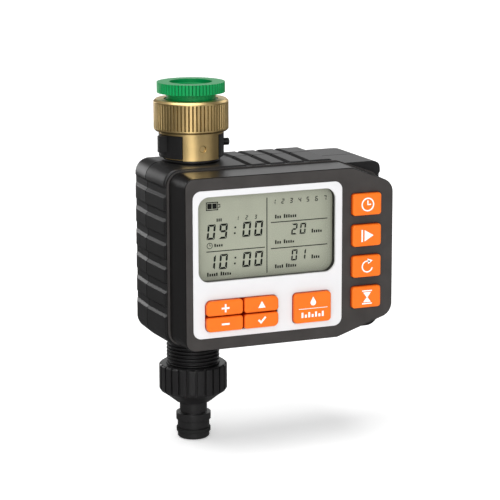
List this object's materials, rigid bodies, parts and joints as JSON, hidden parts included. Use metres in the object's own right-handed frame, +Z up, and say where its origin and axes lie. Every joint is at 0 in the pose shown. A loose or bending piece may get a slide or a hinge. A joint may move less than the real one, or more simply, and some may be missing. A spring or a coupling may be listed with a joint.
{
  "type": "drip irrigation timer",
  "caption": "Battery tap timer with a display, orange buttons, a brass swivel nut and green reducer above, and a ribbed hose-tap connector below.",
  "frame": {"origin": "centre of the inlet thread's mouth, on the water pipe's axis", "axes": "+Z up along the pipe towards the tap, +X to the right along the face, +Y to the back"},
  "size_m": [0.1168, 0.0686, 0.1797],
  "materials": {
    "black_plastic": "satin moulded",
    "brass": "machined",
    "cell": "printed sleeve",
    "circuit_board": "solder mask",
    "clear_window": "clear",
    "coil_wrap": "tape",
    "face_plastic": "fine matt",
    "green_plastic": "semi-gloss",
    "lcd": "display",
    "nozzle_plastic": "satin moulded",
    "orange_plastic": "satin",
    "rubber": "matt",
    "steel": "plain",
    "white_plastic": "satin",
    "wire": "insulated"
  },
  "bodies": {
    "timer": {"aa_cells": "cell", "battery_contacts": "steel", "battery_holder": "black_plastic", "battery_leads": "wire", "board_screws": "steel", "bonnet_screws": "steel", "control_board": "circuit_board", "diaphragm": "rubber", "diaphragm_spring": "steel", "display_connector": "rubber", "display_window": "clear_window", "face_plate": "white_plastic", "front_bezel": "face_plastic", "housing_gasket": "rubber", "housing_screws": "steel", "inlet_filter": "white_plastic", "inlet_lock_clip": "black_plastic", "inlet_washer": "rubber", "lcd_module": "lcd", "mid_housing": "black_plastic", "plunger_spring": "steel", "rear_housing": "black_plastic", "solenoid_coil": "coil_wrap", "solenoid_frame": "steel", "solenoid_leads": "wire", "swivel_collar": "brass", "swivel_o_ring": "rubber", "tact_switches": "steel", "valve_body": "nozzle_plastic", "valve_bonnet": "white_plastic"},
    "cover": {"battery_cover": "black_plastic", "battery_cover_screws": "steel", "battery_cover_seal": "rubber"},
    "nut": {"brass_nut": "brass"},
    "clock_button": {"clock_button": "orange_plastic"},
    "disc": {"diaphragm_disc": "white_plastic"},
    "duration_button": {"duration_button": "orange_plastic"},
    "interval_button": {"interval_button": "orange_plastic"},
    "minus_button": {"minus_button": "orange_plastic"},
    "outlet": {"nipple_o_ring": "rubber", "outlet_connector": "nozzle_plastic", "outlet_washer": "rubber"},
    "ok_button": {"ok_button": "orange_plastic"},
    "plunger": {"plunger": "steel"},
    "plus_button": {"plus_button": "orange_plastic"},
    "program_button": {"program_button": "orange_plastic"},
    "reducer": {"reducer_washer": "rubber", "thread_reducer": "green_plastic"},
    "start_button": {"start_button": "orange_plastic"},
    "up_button": {"up_button": "orange_plastic"}
  },
  "joints": [
    {"name": "clock_press", "type": "slide", "parent": "timer", "child": "clock_button", "axis": [0, 1, 0], "range_m": [0, 0.0007], "stiffness_N_per_m": 400},
    {"name": "duration_press", "type": "slide", "parent": "timer", "child": "duration_button", "axis": [0, 1, 0], "range_m": [0, 0.0007], "stiffness_N_per_m": 400},
    {"name": "interval_press", "type": "slide", "parent": "timer", "child": "interval_button", "axis": [0, 1, 0], "range_m": [0, 0.0007], "stiffness_N_per_m": 400},
    {"name": "minus_press", "type": "slide", "parent": "timer", "child": "minus_button", "axis": [0, 1, 0], "range_m": [0, 0.0007], "stiffness_N_per_m": 400},
    {"name": "ok_press", "type": "slide", "parent": "timer", "child": "ok_button", "axis": [0, 1, 0], "range_m": [0, 0.0007], "stiffness_N_per_m": 400},
    {"name": "plus_press", "type": "slide", "parent": "timer", "child": "plus_button", "axis": [0, 1, 0], "range_m": [0, 0.0007], "stiffness_N_per_m": 400},
    {"name": "program_press", "type": "slide", "parent": "timer", "child": "program_button", "axis": [0, 1, 0], "range_m": [0, 0.0007], "stiffness_N_per_m": 400},
    {"name": "start_press", "type": "slide", "parent": "timer", "child": "start_button", "axis": [0, 1, 0], "range_m": [0, 0.0007], "stiffness_N_per_m": 400},
    {"name": "up_press", "type": "slide", "parent": "timer", "child": "up_button", "axis": [0, 1, 0], "range_m": [0, 0.0007], "stiffness_N_per_m": 400},
    {"name": "nut_turn", "type": "hinge", "parent": "timer", "child": "nut", "pos_m": [0, 0, -0.0083], "axis": [0, 0, 1], "continuous": true},
    {"name": "reducer_lift", "type": "slide", "parent": "nut", "child": "reducer", "axis": [0, 0, 1], "range_m": [0, 0.012]},
    {"name": "outlet_pull", "type": "slide", "parent": "timer", "child": "outlet", "axis": [0, 0, -1], "range_m": [0, 0.016]},
    {"name": "cover_lift", "type": "slide", "parent": "timer", "child": "cover", "axis": [0, 1, 0], "range_m": [0, 0.02]},
    {"name": "plunger_lift", "type": "slide", "parent": "timer", "child": "plunger", "axis": [0, 0, 1], "range_m": [0, 0.0015], "stiffness_N_per_m": 60, "deforming": ["plunger_spring"]},
    {"name": "disc_lift", "type": "slide", "parent": "timer", "child": "disc", "axis": [0, 0, 1], "range_m": [0, 0.0025], "deforming": ["diaphragm_spring"]}
  ],
  "couplings": [
    {"joint": "disc_lift", "follows": "plunger_lift", "ratio": 1.6667}
  ]
}
